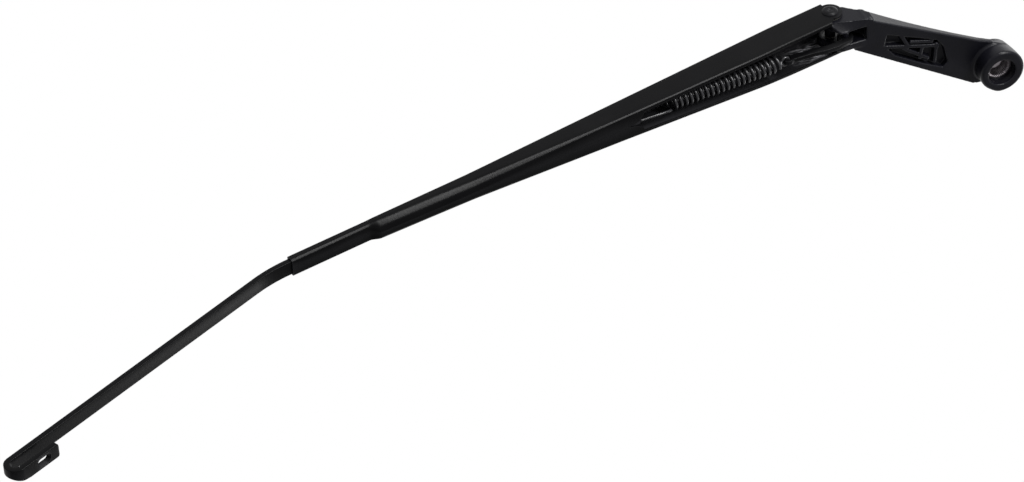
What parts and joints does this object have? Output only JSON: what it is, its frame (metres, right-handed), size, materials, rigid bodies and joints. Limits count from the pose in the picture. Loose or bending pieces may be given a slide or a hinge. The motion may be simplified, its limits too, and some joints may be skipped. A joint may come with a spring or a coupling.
{
  "type": "windscreen wiper arm",
  "caption": "Black windscreen wiper arm with a cranked ribbed head, a spring-loaded folded channel hinged on it, and a flat bar ending in a blade hook.",
  "frame": {"origin": "centre of the boss's lower end, on the spindle's axis", "axes": "+Z along the spindle away from the glass, +X the way the arm points, +Y towards the arm's side of the cranked head"},
  "size_m": [0.7332, 0.0778, 0.2318],
  "materials": {
    "cast_coated": "black coated, semi-matt",
    "sheet_coated": "black powder coat, satin",
    "bar_coated": "black powder coat, satin",
    "sleeve_steel": "bare, turned and broached",
    "bush_polymer": "moulded",
    "rivet_coated": "black coated",
    "spring_coated": "dark coated spring wire"
  },
  "bodies": {
    "head": {"head_casting": "cast_coated", "spindle_sleeve": "sleeve_steel", "hinge_bush_near": "bush_polymer", "hinge_bush_far": "bush_polymer"},
    "arm": {"arm_channel": "sheet_coated", "arm_rod": "bar_coated", "hinge_rivet": "rivet_coated"},
    "link": {"spring_link": "bar_coated"},
    "spring_tail": {"tension_spring": "spring_coated"}
  },
  "joints": [
    {"name": "arm_lift", "type": "hinge", "parent": "head", "child": "arm", "pos_m": [0.1095, 0.049, 0.0275], "axis": [0, -1, 0], "range_deg": [0, 75], "deforming": ["tension_spring"]},
    {"name": "link_swing", "type": "hinge", "parent": "head", "child": "link", "pos_m": [0.1048, 0.049, 0.0135], "axis": [0, -1, 0], "range_deg": [0, 70.5], "deforming": ["tension_spring"]},
    {"name": "spring_stretch", "type": "slide", "parent": "link", "child": "spring_tail", "axis": [0.9834, 0, -0.1812], "range_m": [0, 0.0132], "deforming": ["tension_spring"]}
  ],
  "couplings": [
    {"joint": "link_swing", "follows": "arm_lift", "ratio": 0.9364},
    {"joint": "spring_stretch", "follows": "arm_lift", "m_per_rad": 0.01002}
  ]
}
